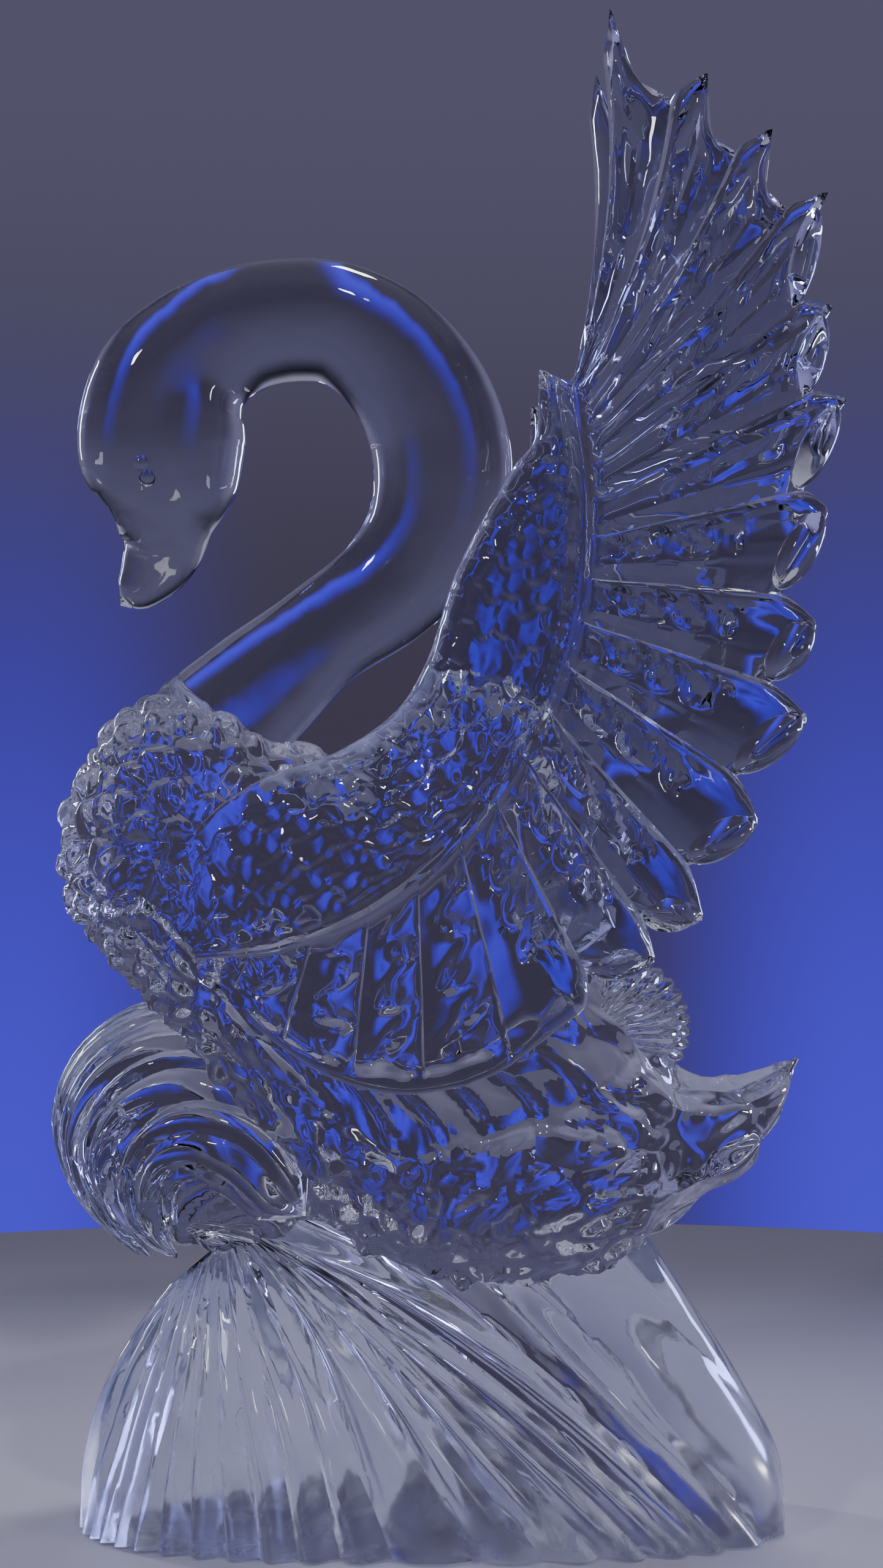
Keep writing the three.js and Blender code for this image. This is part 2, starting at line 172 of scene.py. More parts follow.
def scales(along, across, length, width, lean=0.0, hollowed=0.45):
    """Overlapping round-ended scales, up to 1 high at their free ends. A lean of 90 degrees turns these from
    the way along to the way across. Each is domed, cut by hand a little out of line, and hollowed."""
    best = np.zeros(np.broadcast(along, across).shape)
    ahead, aside = np.cos(lean), np.sin(lean)
    for row_step in (-1, 0, 1):
        row = np.floor(across / width) + row_step
        for step in (-1, 0, 1):
            shift = 0.5 * (row % 2)
            mark = np.floor(along / length - shift) + step
            forth = (along / length - mark - shift - 0.5 + 0.13 * np.sin(12.9 * mark + 78.2 * row)) / 0.6
            over = (across / width - row - 0.5 + 0.1 * np.sin(39.3 * mark + 11.1 * row)) / 0.72
            dome = np.sqrt(np.clip(2.4 * (1 - forth**2 - over**2), 0, 1))
            rise = 0.5 + 0.5 * (ahead * forth + aside * over)
            hollow = hollowed * np.exp(-(((ahead * over - aside * forth) / 0.35) ** 2)) * rise
            best = np.maximum(best, dome * (0.2 + 0.8 * rise - hollow))
    return best


def melt(blank, times):
    """Softens the cuts, as melt water does."""
    bpy.ops.object.select_all(action="DESELECT")
    blank.select_set(True)
    bpy.context.view_layer.objects.active = blank
    bpy.ops.object.mode_set(mode="EDIT")
    bpy.ops.mesh.select_all(action="SELECT")
    bpy.ops.mesh.vertices_smooth(factor=0.5, repeat=times)
    bpy.ops.object.mode_set(mode="OBJECT")


body, turn, along = ball("body", 160, 188, 0.42)
up, across = np.cos(turn), np.sin(turn)
high = smooth_line(body_stations[:, [0, 1]], along)
low = smooth_line(body_stations[:, [0, 2]], along)
depth = smooth_line(body_stations[:, [0, 3]] * [1, 100], along)[:, 1] / 100 * half_depth
half_height = (high[:, 1] - low[:, 1]) / 2
tail = ramp(high[:, 0], tail_start, tail_full)
face = 2 * math.pi / tail_faces
flat = 1 - tail + tail * math.cos(face / 2) / np.cos(turn % face - face / 2)
full = np.where(up < 0, (1 - tail) * keel_fullness * up**2, 0)
shape(
    body,
    high[:, 0],
    across * (1 + full) * depth * flat,
    low[:, 1] + half_height + up * half_height * flat,
)
places = points_of(body)
side_x, side_z = (places[:, 0] - middle) / unit, places[:, 2] / unit
over_hem = side_z - np.interp(side_x, *hem_line.T)
over_keel = side_z - np.interp(side_x, *keel_line.T)
breast = 1 - ramp(side_x, -150, -95)
keel_end = 1 - ramp(side_x, 60, 110)
keel_band = (1 - ramp(over_keel, keel_band_high - 6, keel_band_high + 6)) * keel_end
keel_ridge = np.exp(-(((over_keel - keel_band_high) / 4) ** 2)) * keel_end
above_hem = (1 - keel_band) * np.maximum(breast, ramp(over_hem, 0, 12))
below_hem = (1 - keel_band) * (1 - breast) * (1 - ramp(side_x, 120, 160)) * (1 - ramp(over_hem, 0, 12))
second_tier = below_hem * ramp(over_hem, -second_tier_deep - 4, -second_tier_deep + 4)
tier_edge = np.exp(-(((over_hem + second_tier_deep) / 5) ** 2)) * (1 - breast) * (1 - ramp(side_x, 120, 150))
tier_way = side_x + 1.1 * over_hem + 0.011 * over_hem**2
tier_feathers = 1 - (tier_way / tier_feather_wide) % 1
tier_feathers *= np.clip(8 * (1 - tier_feathers), 0, 1)
# The cuts on the belly are drawn out and wind a little, as its feathers lie.
along_flow = side_x * 0.97 + side_z * 0.26
over_flow = side_z * 0.97 - side_x * 0.26
winding = along_flow * 0.6 + 10 * np.sin(over_flow / 14)
flow = np.stack([winding, places[:, 1] / unit, over_flow], axis=1) * unit
relief = breast_cut * gouged(places, breast_gap) * above_hem
relief += keel_cut * gouged(places + 0.5, keel_gap) * keel_band + keel_ridge_step * keel_ridge
relief += belly_cut * gouged(flow, belly_gap) * (below_hem - second_tier)
relief += tier_step * tier_feathers * second_tier + tier_edge_step * tier_edge
facets = facet_cut * gouged(places + 0.2, facet_gap) ** 2
bold = 1 - far_softening * ramp(places[:, 1], 0, 0.04)
carve(body, bold * ((relief - body_ground) * (1 - tail) + (facets - tail_ground) * tail))
melt(body, 1)


# The neck, the head and the bill, with an eye on each side.
# Clear ice, rounded with a flat chisel and polished by its own melt water, so it is the smoothest part.
# A ball is drawn out along the hook of the neck, and the cheeks swell a little.

neck_stations = [  # x, z, half width and half depth, from inside the breast to the bill's tip
    [-200, 470, 0, 0], [-171, 520, 46, 44], [-128, 562, 42, 40], [-85, 599, 36, 37], [-41, 631, 39, 38],
    [-13, 668, 44, 40], [-4, 711, 47, 41], [-14, 753, 46, 40], [-40, 789, 43, 38], [-73, 809, 41, 37],
    [-105, 812, 41, 37], [-139, 806, 42, 37], [-168, 790, 46, 38], [-189, 764, 53, 40], [-195, 729, 56, 41],
    [-191, 696, 47, 37], [-192, 673, 33, 29], [-194, 656, 27, 22], [-203, 639, 21, 17], [-214, 626, 13, 12],
    [-222, 619, 0, 0],
]
cheek = [-163, 724, 27, 42]  # x, z, half length and half height
cheek_swell = 0.0035
eye_place = [-204, 712]
eye_aside, eye_radius = 36 * unit, 0.006


def limb(name, stations, sides, rings, aside=0.0, squareness=2.0):
    """A limb of ice along stations of x, z, half width and half depth, all in units. It is round at 2."""
    blank, turn, along = ball(name, sides, rings)
    stations = np.array(stations, float)
    centre = smooth_line(stations[:, :2], along)
    girth = smooth_line(stations[:, 2:], along)
    ahead = smooth_line(stations[:, :2], along + 0.002) - smooth_line(stations[:, :2], along - 0.002)
    ahead /= np.linalg.norm(ahead, axis=1)[:, None]
    corner = 2 / squareness
    wide = np.sign(np.cos(turn)) * np.abs(np.cos(turn)) ** corner * girth[:, 0]
    y = aside + np.sign(np.sin(turn)) * np.abs(np.sin(turn)) ** corner * girth[:, 1] * unit
    shape(blank, centre[:, 0] - ahead[:, 1] * wide, y, centre[:, 1] + ahead[:, 0] * wide)
    return blank, turn, along


def egg(name, x, z, half_length, half_height, depth, aside=0.0, lean=0.0, sides=64):
    """An egg-shaped lump in units of the side view, its depth in metres, which may lean in the side view."""
    blank, turn, along = ball(name, sides, sides // 2)
    level, out, rise = points_of(blank).T * np.array([[half_length], [depth], [half_height]])
    shape(
        blank,
        x + level * math.cos(lean) + rise * math.sin(lean),
        aside + out,
        z + rise * math.cos(lean) - level * math.sin(lean),
    )
    return blank


neck = limb("neck", neck_stations, 56, 132, squareness=2.4)[0]
places = points_of(neck)
ahead_of_cheek = ((places[:, 0] - middle) / unit - cheek[0]) / cheek[2]
over_cheek = (places[:, 2] / unit - cheek[1]) / cheek[3]
carve(neck, cheek_swell * (1 - ramp(np.hypot(ahead_of_cheek, over_cheek), 0.7, 1.15)))
eye_sizes = eye_radius / unit, eye_radius / unit, eye_radius
eyes = []
for side, aside in (("left", -eye_aside), ("right", eye_aside)):
    eyes.append(egg(f"eye_{side}", *eye_place, *eye_sizes, aside, sides=24))


# The wings, two upright plates of clear ice, one along each face of the block. Small scales cover the
# shoulder down to the smooth arm, and long feathers fan out from it, each a step over the next, with slanting
# gouge marks. The left one is a fine sheet of points over a coarse one, and the right one its mirror image.

feathers = 18
tips = np.array([  # of the long feathers, from the foremost; the very first is hidden by the next
    [97, 985], [104, 1000], [167, 958], [209, 922], [245, 881], [248, 807], [257, 747], [245, 675],
    [237, 602], [231, 541], [199, 473], [163, 412], [132, 385], [85, 353], [27, 312], [-28, 300],
    [-72, 309], [-117, 337], [-147, 367],
])
shoulder_end = [-171, 386]
arm_line = [[80, 753], [90, 690], [83, 609], [65, 551], [9, 463], [-52, 414], [-108, 393], [-168, 385]]
front_line = [
    [58, 766], [55, 720], [42, 703], [5, 636], [-14, 579], [-33, 547], [-71, 520], [-122, 501],
    [-165, 467], [-182, 411], [-174, 389],
]
tip_at = 0.25  # of a feather's width
notch_at = 0.75  # from one tip to the next
root_crowding = 1.5
bow = 12
arm_length, arm_thickness, tip_thickness = 0.56, 0.050, 0.026  # in metres, as the next two lines
feather_step, arm_step, scale_step, gouge_depth, hem_step = 0.009, 0.007, 0.0095, 0.0085, 0.004
edge_round, skirt_edge_round = 0.0115, 0.005
pod_tips = range(4, 13)  # the feathers that end in a round pod
pod_half_sizes = np.array([[9, 0.011], [13, 0.015]])  # height, in units, and depth, of the least and largest
pod_row, pod_span = 1.955, [0.3, 0.94]
skirt_out, shoulder_in = 0.1, 0.1  # of the half depth
first_lobed, first_of_skirt = 6, 13  # the feathers before the first lobed one are upright
upright_slant, lobed_slant = 0.14, 0.72  # of the gouge marks, in radians off the feather's own line
upright_spacing, lobed_spacing, upright_mark_length = 0.016, 0.0165, 0.07
# Rows across the wing: 0 is its front edge, 1 the arm's lower edge and 2 the feathers' ends.
profile_rows = [0, 0.22, 0.44, 0.66, 0.85, 1, 1.06, 1.4, 1.78, 2]
profile_out = [0.89, 0.94, 0.97, 0.98, 1, 0.99, 0.95, 0.93, 0.9, 0.87]
profile_thick = [0.1, 0.6, 0.9, 1, 1, 1, 0.9, 0.6, 0.2, 0]


def evenly(points, share):
    """Places at these shares of a smooth line's length."""
    steps = np.linspace(0, 1, 201)
    marks = smooth_line(points, steps)
    walked = np.r_[0, np.cumsum(np.linalg.norm(np.diff(marks, axis=0), axis=1))]
    return smooth_line(points, np.interp(share * walked[-1], walked, steps))


def blended(one, other, share):
    """What lies this share of the way from one to the other."""
    return one + (other - one) * share


def feather_ends(place, roots):
    """The feathers' outline at places counted in feathers from the front."""
    count = np.arange(feathers)
    notch_roots = evenly(arm_line, (count / feathers) ** root_crowding)
    notch_depth = (0.12 + 0.04 * ramp(count, 6, 7) - 0.13 * ramp(count, 11.5, 13.5))[:, None]
    notches = blended(blended(tips[:-1], tips[1:], notch_at), notch_roots, notch_depth)
    notches = np.vstack([notches, shoulder_end])
    hem = smooth_line(np.vstack([tips, shoulder_end]), (place + 1 - tip_at) / (feathers + 1))
    hem = blended(hem, np.array(shoulder_end), ramp(place, feathers - 0.5, feathers)[:, None])
    ends = np.empty((len(place), 2))
    for index, value in enumerate(place):
        feather = min(int(value), feathers - 1)
        within = value - feather
        start, tip, stop = notches[feather], tips[feather + 1], notches[feather + 1]
        outwards = tip - roots[index]
        if within <= tip_at:
            spear = blended(start, tip, within / tip_at)
        else:
            past = (within - tip_at) / (1 - tip_at)
            fullness = -0.07 + 0.12 * ramp(feather / feathers, 0.15, 0.45)
            spear = blended(tip, stop, past) + outwards * fullness * 4 * past * (1 - past)
        lobe_points = [
            start,
            blended(start, tip, 0.7) + 0.015 * outwards,
            tip,
            blended(tip, stop, 0.5) + 0.05 * outwards,
            stop,
        ]
        share = np.interp(within, [0, 0.12, tip_at, 0.62, 1], [0, 0.25, 0.5, 0.75, 1])
        lobe = smooth_line(lobe_points, np.array([share]))[0]
        ends[index] = blended(spear, lobe, ramp(feather, 4.5, 7.5))
        ends[index] = blended(ends[index], hem[index], ramp(value, 11.8, 12.6))
    return ends


def smooth_value(knots, values, at):
    """A value that passes smoothly through the given ones."""
    marks = smooth_line(np.stack([knots, values], axis=1), np.linspace(0, 1, 400))
    return np.interp(at, marks[:, 0], marks[:, 1])


def columns(withins):
    """Places across all the feathers, these many for each."""
    return np.append((np.arange(feathers)[:, None] + np.array(withins)).ravel(), feathers)


def lay_out(place, rows):
    """Points in the side view, and each column's points at the front edge, the arm's edge and the end."""
    roots = evenly(arm_line, (place / feathers) ** root_crowding)
    fronts = evenly(front_line, (place / feathers) ** root_crowding)
    ends = feather_ends(place, roots)
    over_arm = np.minimum(rows, 1)[..., None]
    beyond = np.maximum(rows - 1, 0)[..., None]
    points = blended(fronts[:, None], roots[:, None], over_arm)
    points = points + (ends - roots)[:, None] * beyond
    bowed = 1 - np.clip(place / feathers / 0.3, 0, 1)[:, None]
    points[..., 0] += bow * bowed * 4 * beyond[..., 0] * (1 - beyond[..., 0])
    return points, fronts, roots, ends


def edge_rounding(points, place):
    """How far the surface turns in at the plate's edge, which is rounded, and less so on the skirt."""
    radius = blended(edge_round, skirt_edge_round, ramp(place, 12, 13.5))
    flat = points.reshape(-1, 2)
    distance = np.empty(len(flat))
    for start in range(0, len(flat), 2000):
        part = flat[start : start + 2000]
        distance[start : start + 2000] = np.sqrt(((part[:, None] - outline) ** 2).sum(axis=2).min(axis=1))
    inside = np.minimum(distance.reshape(points.shape[:2]) * unit / radius, 1)
    return radius * (1 - np.sqrt(1 - (1 - inside) ** 2))


def gouge_marks(feather, within, beyond, long, wide):
    """Slanting teardrop hollows along the fore half of each feather, and one long winding hollow down each
    feather of the skirt: 1 at the bottom of each."""
    forth, over = beyond * long, within * wide
    upright = feather < first_lobed
    skirt = feather >= first_of_skirt
    slant = np.where(upright, upright_slant, lobed_slant)
    spacing = np.where(upright, upright_spacing, lobed_spacing)
    lane = (over * np.cos(slant) - forth * np.sin(slant)) / spacing
    lane += 0.16 * np.sin(45 * forth + 1.7 * feather)
    number = np.floor(lane)
    travelled = (forth * np.cos(slant) + over * np.sin(slant)) / upright_mark_length
    travelled = (travelled + 0.37 * number + 0.21 * feather) % 1
    travelled = np.where(upright, travelled, np.clip((within - 0.1) / 0.54, 0, 1))
    half_wide = 0.28 + 0.2 * travelled
    hollow = np.clip(1 - ((lane - number - 0.5) / half_wide) ** 2, 0, 1) ** 1.5
    hollow *= ramp(travelled, 0, 0.3) * ramp(travelled, 1, 0.8)
    winds_at = 0.4 + 0.17 * np.sin(170 * forth + 2.1 * feather) + 0.05 * np.sin(410 * forth + 4 * feather)
    winding = np.exp(-(((within - winds_at) / 0.16) ** 2)) * (0.7 + 0.3 * np.sin(230 * forth + 1.3 * feather))
    hollow = np.where(skirt, winding, hollow)
    hollow *= ramp(within, 0.05, 0.14)
    hollow *= 1 - ramp(within, np.where(skirt, 0.75, 0.6), np.where(skirt, 0.92, 0.7))
    starts_at = np.where(upright, 0.32, 0.1)
    ends_at = np.where(upright | skirt, 0.9, 0.66)
    hollow *= ramp(beyond, starts_at - 0.06, starts_at + 0.08)
    return hollow * (1 - ramp(beyond, ends_at - 0.05, ends_at + 0.03))


def sheet_out(place, row):
    """How far out a wing's outer face stands there, in metres, before its relief."""
    skirt = np.maximum(row - 1, 0) * skirt_out * np.clip((place / feathers - 0.45) / 0.25, 0, 1)
    shoulder = shoulder_in * np.clip((place / feathers - 0.75) / 0.25, 0, 1)
    return (smooth_value(profile_rows, profile_out, row) + skirt - shoulder) * half_depth - arm_step


def stitched(outer, inner):
    """Faces of a closed plate between two sheets of points, numbered one after the other."""
    points = np.vstack([outer.reshape(-1, 3), inner.reshape(-1, 3)])
    faces = []
    rims = []
    first = 0
    for sheet, turned in ((outer, False), (inner, True)):
        number = first + np.arange(sheet.shape[0] * sheet.shape[1]).reshape(sheet.shape[:2])
        corners = np.stack([number[:-1, :-1], number[1:, :-1], number[1:, 1:], number[:-1, 1:]], axis=2)
        corners = corners.reshape(-1, 4)
        faces += (corners[:, ::-1] if turned else corners).tolist()
        rims.append(np.r_[number[:, 0], number[-1, 1:], number[-2::-1, -1], number[0, -2::-1]].tolist())
        first += number.size
    one, other = rims
    i = j = 0
    while i + 1 < len(one) or j + 1 < len(other):
        by_one = np.linalg.norm(points[one[i + 1]] - points[other[j]]) if i + 1 < len(one) else math.inf
        by_other = np.linalg.norm(points[other[j + 1]] - points[one[i]]) if j + 1 < len(other) else math.inf
        if by_one <= by_other:
            faces.append([one[i], other[j], one[i + 1]])
            i += 1
        else:
            faces.append([one[i], other[j], other[j + 1]])
            j += 1
    return points, faces


def outer_face(withins, row_count, boldness):
    """The carved outer face, as columns of points. The coverts get more of the rows toward the shoulder."""
    place = columns(withins)[:, None]
    mark = np.linspace(0, 1, row_count - 9)[None, :]
    for_coverts = 0.22 + 0.32 * ramp(place, 4, 13)
    rows = np.where(
        mark < for_coverts,
        0.09 + 0.91 * mark / for_coverts,
        1 + 0.93 * (mark - for_coverts) / (1 - for_coverts),
    )
    edges = np.ones((len(place), 1))
    rows = np.hstack([edges * [0, 0.012, 0.035, 0.06], rows, edges * [1.95, 1.967, 1.981, 1.992, 2]])
    points, fronts, roots, ends = lay_out(place[:, 0], rows)
    feather = np.minimum(np.floor(place), feathers - 1)
    within = place - feather
    beyond = np.maximum(rows - 1, 0)
    feather_roots = evenly(arm_line, (np.arange(feathers + 1) / feathers) ** root_crowding)
    root_gap = np.linalg.norm(np.diff(feather_roots, axis=0), axis=1)[feather.astype(int)]
    tip_gap = np.linalg.norm(np.diff(tips, axis=0), axis=1)[feather.astype(int)]
    wide = blended(root_gap, tip_gap, beyond) * unit
    long = np.linalg.norm(ends - roots, axis=1)[:, None] * unit
    marks = gouge_marks(feather, within, beyond, long, wide)
    step = np.interp(
        within,
        [0, 0.015, 0.04, 0.08, 0.14, 0.6, 0.68, 0.74, 0.94, 1],
        [-0.5, -0.2, 0.35, 0.5, 0.25, 0.05, 0.3, 0.2, -0.2, -0.5],
    )
    panel = np.interp(within, [0, 0.015, 0.04, 0.08, 1], [-0.25, 0.1, 0.35, 0.4, -0.25])
    step = blended(step, panel, ramp(place, 12.6, 13.4))
    walked = (place / feathers) ** root_crowding * arm_length
    covert_wide = np.linalg.norm(roots - fronts, axis=1)[:, None] * unit
    shoulder = ramp(place, 8, 13)
    scale_long, scale_wide = 0.026 + 0.002 * shoulder, 0.0105 + 0.0055 * shoulder
    covert_scales = scales(walked, rows * covert_wide, scale_long, scale_wide, 1.4 * shoulder, 0.5 * shoulder)
    band = 0.016 - 0.009 * ramp(place, 3, 14)
    arm_band = np.sin(math.pi * np.clip((rows - 1.02) * covert_wide / band + 1, 0, 1)) ** 0.8
    on_coverts = ramp(rows, 0.005, 0.04) * ramp((1 - rows) * covert_wide, band, band + 0.004)
    hem_band = ramp(rows, 1.88, 1.92) * ramp(place, 12.5, 13.5)
    relief = boldness * np.clip((feathers - place) / 1.5, 0, 1) * (
        scale_step * (0.5 + 0.45 * shoulder) * (covert_scales - 0.3) * on_coverts
        + arm_step * arm_band
        + feather_step * step * ramp(rows, 1.0, 1.1) * (1 - hem_band)
        - gouge_depth * marks
        + hem_step * hem_band
    )
    out = sheet_out(place, rows) + relief - edge_rounding(points, place)
    return np.stack([points[..., 0] * unit + middle, -out, points[..., 1] * unit], axis=2)


coarse_withins = [0, 0.05, tip_at, 0.62]
coarse_rows = [0, 0.04, 0.2, 0.4, 0.6, 0.8, 1, 1.15, 1.3, 1.45, 1.6, 1.75, 1.88, 1.96, 2]
fine_withins = [0, 0.015, 0.04, 0.08, 0.14, 0.21, 0.29, 0.38, 0.47, 0.56, 0.64, 0.7, 0.8, 0.92]
far_withins = [0, 0.03, 0.08, 0.2, 0.35, 0.5, 0.65, 0.85]

place = columns(coarse_withins)[:, None]
row = np.array(coarse_rows) + 0 * place
edge_place = np.linspace(0, feathers, 40 * feathers + 1)
edge_points = lay_out(edge_place, np.array([0, 2.0]) + 0 * edge_place[:, None])[0]
side_rows = np.linspace(0, 2, 200) + np.zeros((2, 1))
side_points = lay_out(np.array([0, float(feathers)]), side_rows)[0]
outline = np.concatenate([edge_points[:, 0], edge_points[:, 1], side_points[0], side_points[1]])

points = lay_out(place[:, 0], row)[0]
within = place - np.minimum(np.floor(place), feathers - 1)
thick = tip_thickness + (arm_thickness - tip_thickness) * smooth_value(profile_rows, profile_thick, row)
flutes = 0.0025 * np.interp(within, [0, 0.05, 0.62, 1], [-1, 0.6, 0, -1]) * ramp(row, 1, 1.2)
inner_y = -(sheet_out(place, row) - thick - flutes + edge_rounding(points, place))
inner = np.stack([points[..., 0] * unit + middle, inner_y, points[..., 1] * unit], axis=2)
wings, pods = [], []
makings = (("left", 1, fine_withins, 108, 1), ("right", -1, far_withins, 50, 1 - far_softening))
for side, way, withins, row_count, boldness in makings:
    points, faces = stitched(outer_face(withins, row_count, boldness), inner)
    mesh = bpy.data.meshes.new(f"{side}_wing")
    mesh.from_pydata((points * [1, way, 1]).tolist(), [], faces)
    plate = bpy.data.objects.new(f"{side}_wing", mesh)
    bpy.context.collection.objects.link(plate)
    level, out, rise = (points * [1, way, 1]).T
    shape(plate, (level - middle) / unit, out, rise / unit)
    melt(plate, 1)
    shape(plate, (level - middle) / unit, points_of(plate)[:, 1], rise / unit)  # the outline stays crisp
    wings.append(plate)
    for tip in pod_tips:
        start, stop = lay_out(tip - 1 + np.array(pod_span), np.full((2, 1), pod_row))[0][:, 0]
        level, rise = (start + stop) / 2
        length = np.linalg.norm(stop - start) / 2 + 3
        slope = math.atan2(start[1] - stop[1], start[0] - stop[0])
        high, deep = blended(pod_half_sizes[0], pod_half_sizes[1], ramp(tip, 4, 8))
        out = (0.9 * half_depth - tip_thickness * 0.45) * -way
        sides = 28 if way > 0 else 18
        pods.append(egg(f"{side}_pod_{tip}", level, rise, length, high, deep, out, -slope, sides))


# The back and the rump.
# Clear ice left standing between the wings, to carry their arms, and over the tail a fan of fine ribs cut
# with a small gouge. Both are swollen balls, and the ribs run out from the middle of each side of the rump.

# x, z, half length and half height of each, and its share of the half depth.
back_place, back_depth = [22, 455, 92, 112], 0.78
rump_place, rump_depth = [86, 335, 78, 58], 0.57
back_cut, back_gap, back_ground = 0.009, 0.024, 0.006
rump_ribs, rump_rib_depth = 40, 0.0042

back = egg("back", *back_place, back_depth * half_depth, sides=72)
carve(back, back_cut * gouged(points_of(back), back_gap) - back_ground)
rump, turn, along = ball("rump", 200, 28)
rim = np.sin(along * math.pi)
shape(
    rump,
    rump_place[0] + np.cos(turn) * rim * rump_place[2],
    np.cos(along * math.pi) * rump_depth * half_depth,
    rump_place[1] + np.sin(turn) * rim * rump_place[3],
)
ribs = np.abs(np.cos(turn * rump_ribs / 2 + 1.2 * rim)) ** 0.8
carve(rump, (ribs - 1) * rump_rib_depth * ramp(rim, 0.25, 0.6))


# The breaking wave, a clam of nine smooth curls over a round heart, and the hollows under it.
# Clear ice, cut with a wide round gouge. Each curl is a limb of its own, largest in the middle of the block.

curl_stations = np.array([  # x, z and half width, of the middle curl
    [-56, 238, 0], [-88, 268, 24], [-134, 312, 27], [-190, 330, 25], [-230, 310, 22], [-247, 274, 20],
    [-241, 238, 16], [-226, 208, 9], [-212, 186, 0],
])
curl_hub = np.array([-134, 200])  # the outer curls are smaller about this point
curls = 9
curl_spread, outermost_curl, curl_flatness = 0.74, 0.53, 0.8
curl_ribs, wave_rib_depth = 6, 0.0055
heart_place, heart_depth, heart_rib_gap = [-150, 252, 80, 66], 0.8, 7.5
hollow_place, hollow_depth, hollow_out = [-140, 196, 52, 18], 0.77, 1.12

heart = egg("wave_heart", *heart_place, heart_depth * half_depth, sides=80)
places = points_of(heart)
from_hub = np.hypot((places[:, 0] - middle) / unit - curl_hub[0], places[:, 2] / unit - curl_hub[1])
carve(heart, wave_rib_depth * np.abs(np.cos(from_hub / heart_rib_gap)) ** 0.8 - 0.003)
wave = [heart]
for curl in range(curls):
    aside = curl / (curls - 1) * 2 - 1
    size = math.sqrt(1 - (1 - outermost_curl**2) * aside**2)
    stations = np.column_stack([
        curl_hub + (curl_stations[:, :2] - curl_hub) * size,
        curl_stations[:, 2],
        curl_stations[:, 2] * curl_flatness,
    ])
    near = aside < 0.3  # those toward the left side are ribbed, and need more points
    sides, rings = (46, 36) if near else (20, 28)
    rib, turn, along = limb(f"curl_{curl}", stations, sides, rings, aside * curl_spread * half_depth)
    if near:
        ribs = np.abs(np.cos(curl_ribs / 2 * turn + 2.5 * along + curl)) ** 0.8
        carve(rib, (ribs - 0.7) * wave_rib_depth * np.sin(math.pi * along) ** 0.5)
    wave.append(rib)
hollows = []
for side, aside in (("left", -hollow_out * half_depth), ("right", hollow_out * half_depth)):
    hollows.append(egg(f"hollow_{side}", *hollow_place, hollow_depth * half_depth, aside, 0.3))


# The base of falling water, on which it all stands.
# Clear ice, fluted with a wide gouge so that the water springs from under the breast and sweeps back. Its
# underside is sawn flat. A ball is drawn into a heap that is nearly square at the foot.

base_levels = np.array([  # z, front end, back end and share of the half depth
    [0, -248, 228, 0.94], [48, -246, 224, 0.92], [92, -235, 202, 0.87], [127, -216, 180, 0.79],
    [154, -194, 161, 0.69], [182, -162, 142, 0.56], [210, -125, 122, 0.37],
])
base_flutes, flute_step = 42, 0.015
flute_sweep = 1.35  # the flutes broaden toward the back
spring = [-154, 204]  # x and z of the point from which the flutes fan out, in the side view
fall = 0.7  # below 1 they leave it flat and steepen, as falling water does
base_squareness = 2.6
sole_share, cap_share = 0.06, 0.94  # of the ball's rings: below are the sole's, and above the hidden top's

base, turn, along = ball("base", 320, 46, 0.25)
climb = 1 - along
level = np.clip((climb - sole_share) / (cap_share - sole_share), 0, 1)
z = smooth_line(base_levels[:, [0, 0]], level)[:, 0]
front = smooth_line(base_levels[:, [0, 1]], level)[:, 1]
rear = smooth_line(base_levels[:, [0, 2]], level)[:, 1]
share = smooth_line(base_levels[:, [0, 3]] * [1, 100], level)[:, 1] / 100
closing = np.clip(climb / sole_share, 0, 1) * np.clip((1 - climb) / (1 - cap_share), 0, 1)


def oblong(value):
    """The two sides of a squarish round at the given share of its length, from -1 to 1, and back again."""
    return np.sign(value) * np.abs(value) ** (2 / base_squareness)


round_by = np.abs(turn) / math.pi  # 0 at the front end and 1 at the back
around = -oblong(np.cos(round_by * math.pi))
foot_front, foot_rear = base_levels[0, 1:3]
foot = (foot_front + foot_rear) / 2 + around * (foot_rear - foot_front) / 2
fallen = np.maximum((spring[1] - z) / spring[1], 0.02) ** fall
fanned = (blended(spring[0], foot, fallen) - (front + rear) / 2) / ((rear - front) / 2)
on_face = ramp(round_by, 0, 0.12) * (1 - ramp(round_by, 0.7, 1))
ahead = np.clip(blended(around, fanned, on_face), -1, 1)
aside = (1 - np.abs(ahead) ** base_squareness) ** (1 / base_squareness)
wander = 0.2 * np.sin(3 * turn + 1) + 0.14 * np.sin(7 * turn + 0.02 * z)
swept = 1 - np.maximum(1 - round_by, 0) ** flute_sweep
crest = np.abs(np.cos(math.pi * (swept * base_flutes / 2 + wander)))
broad = 0.5 + 0.5 * np.cos(swept * math.pi * base_flutes / 4 + 2 * wander)
cut = flute_step * (1 - crest) * (0.6 + 0.4 * broad) * np.clip((1 - level) * 4, 0, 1)
cut *= 1 - 0.7 * ramp(round_by, 0.75, 0.95)
shape(
    base,
    (front + rear) / 2 + ahead * ((rear - front) / 2 - cut / unit) * closing,
    np.sign(turn) * aside * (share * half_depth - cut) * closing,
    z,
)


# The finished carving, all one piece of clear, wet ice.
# The forms above are joined into one solid, the hollows are cut out of it and loose chips are cleared away.
# Clear ice bends light a little less than water; its melting skin ripples and is frosted near the foot.

